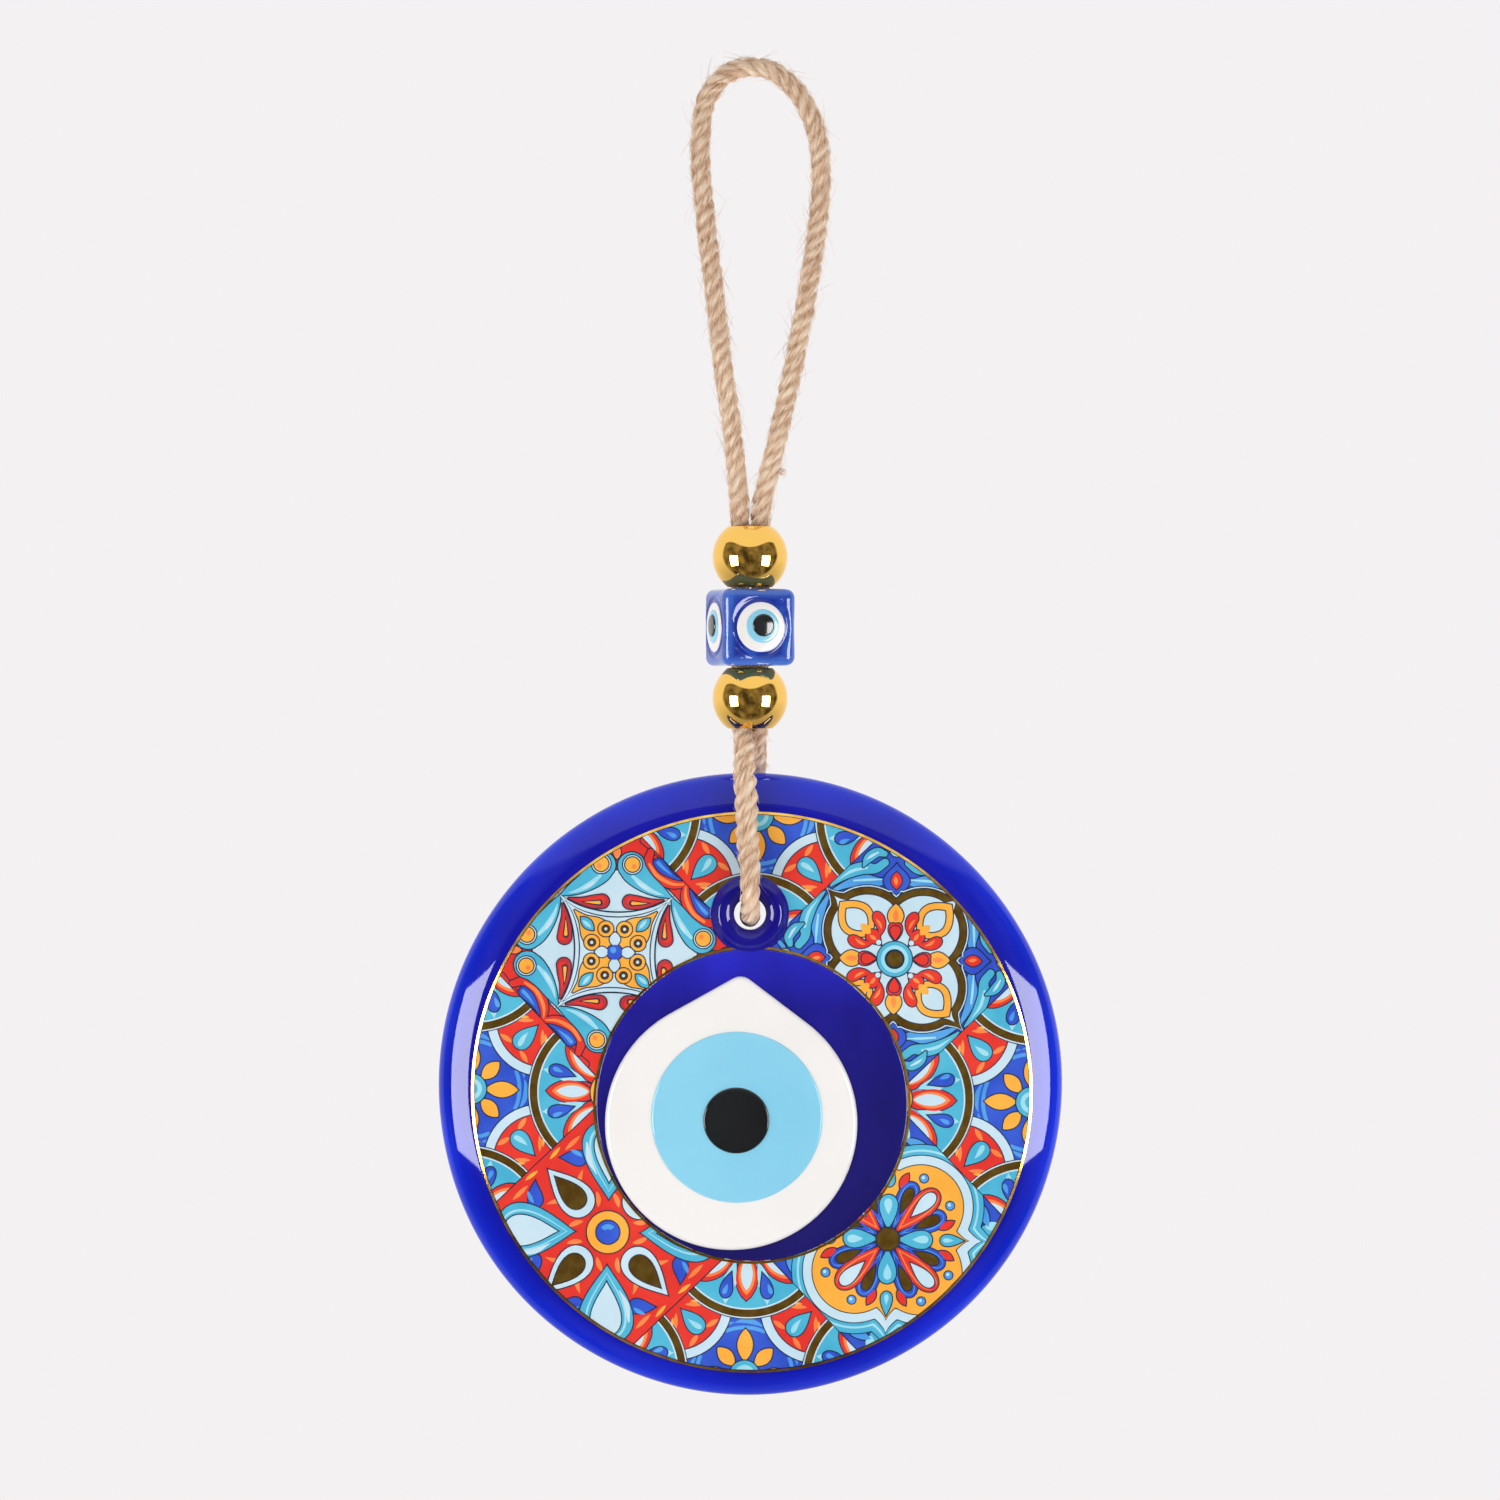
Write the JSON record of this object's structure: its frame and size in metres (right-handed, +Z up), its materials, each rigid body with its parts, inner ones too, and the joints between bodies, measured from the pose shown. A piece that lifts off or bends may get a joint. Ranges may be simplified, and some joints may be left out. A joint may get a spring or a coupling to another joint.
{
  "type": "evil eye ornament",
  "caption": "Round blue glass evil eye with a printed tile ring, hung from a jute cord loop with two gold beads and a blue glass cube bead.",
  "frame": {"origin": "inside top of the cord's loop, where a nail or hook holds it", "axes": "+Z up along the hanging cord, the eye faces -Y, +X to the viewer's right"},
  "size_m": [0.1, 0.0156, 0.2146],
  "materials": {
    "cobalt_glass": "fire-polished, glossy",
    "tile_print": "glossy printed tile pattern in red, orange, light blue and royal blue",
    "gold_foil": "mirror foil",
    "white_glass": "opaque, glossy",
    "light_blue_glass": "opaque, glossy",
    "black_glass": "opaque, glossy",
    "gold_bead": "polished, gold plated",
    "cube_glass": "translucent cobalt, glossy",
    "jute": "twisted natural fibre, matt"
  },
  "bodies": {
    "hanging_cord": {"upper_cord": "jute"},
    "bead_stack": {"lower_gold_bead": "gold_bead"},
    "cube": {"cube_bead": "cube_glass", "cube_eye_front_white": "white_glass", "cube_eye_front_light_blue": "light_blue_glass", "cube_eye_front_black": "black_glass", "cube_eye_right_white": "white_glass", "cube_eye_right_light_blue": "light_blue_glass", "cube_eye_right_black": "black_glass", "cube_eye_back_white": "white_glass", "cube_eye_back_light_blue": "light_blue_glass", "cube_eye_back_black": "black_glass", "cube_eye_left_white": "white_glass", "cube_eye_left_light_blue": "light_blue_glass", "cube_eye_left_black": "black_glass"},
    "upper_bead": {"upper_gold_bead": "gold_bead"},
    "cord_twist": {"twist_strand_left": "jute", "twist_strand_right": "jute"},
    "lower_loop": {"lower_cord": "jute"},
    "disc": {"glass_disc": "cobalt_glass", "printed_tile_ring": "tile_print", "outer_foil_line": "gold_foil", "inner_foil_line": "gold_foil", "white_glass_drop": "white_glass", "light_blue_iris": "light_blue_glass", "black_pupil": "black_glass"}
  },
  "joints": [
    {"name": "bead_slide", "type": "slide", "parent": "hanging_cord", "child": "bead_stack", "axis": [0, 0, 1], "range_m": [-0.001, 0.001]},
    {"name": "cube_spin", "type": "hinge", "parent": "bead_stack", "child": "cube", "pos_m": [0, 0, -0.08845], "axis": [0, 0, 1], "continuous": true},
    {"name": "upper_bead_spin", "type": "hinge", "parent": "bead_stack", "child": "upper_bead", "pos_m": [0, 0, -0.0771], "axis": [0, 0, 1], "continuous": true},
    {"name": "cord_twist", "type": "hinge", "parent": "hanging_cord", "child": "cord_twist", "pos_m": [0, 0, -0.0985], "axis": [0, 0, 1], "range_deg": [-90, 90], "stiffness_Nm_per_rad": 0.0004},
    {"name": "cord_swing", "type": "hinge", "parent": "cord_twist", "child": "lower_loop", "pos_m": [0, 0, -0.1031], "axis": [1, 0, 0], "range_deg": [-10, 10]},
    {"name": "disc_rock", "type": "hinge", "parent": "lower_loop", "child": "disc", "pos_m": [0, 0, -0.1332], "axis": [0, 1, 0], "range_deg": [-25, 25]}
  ]
}
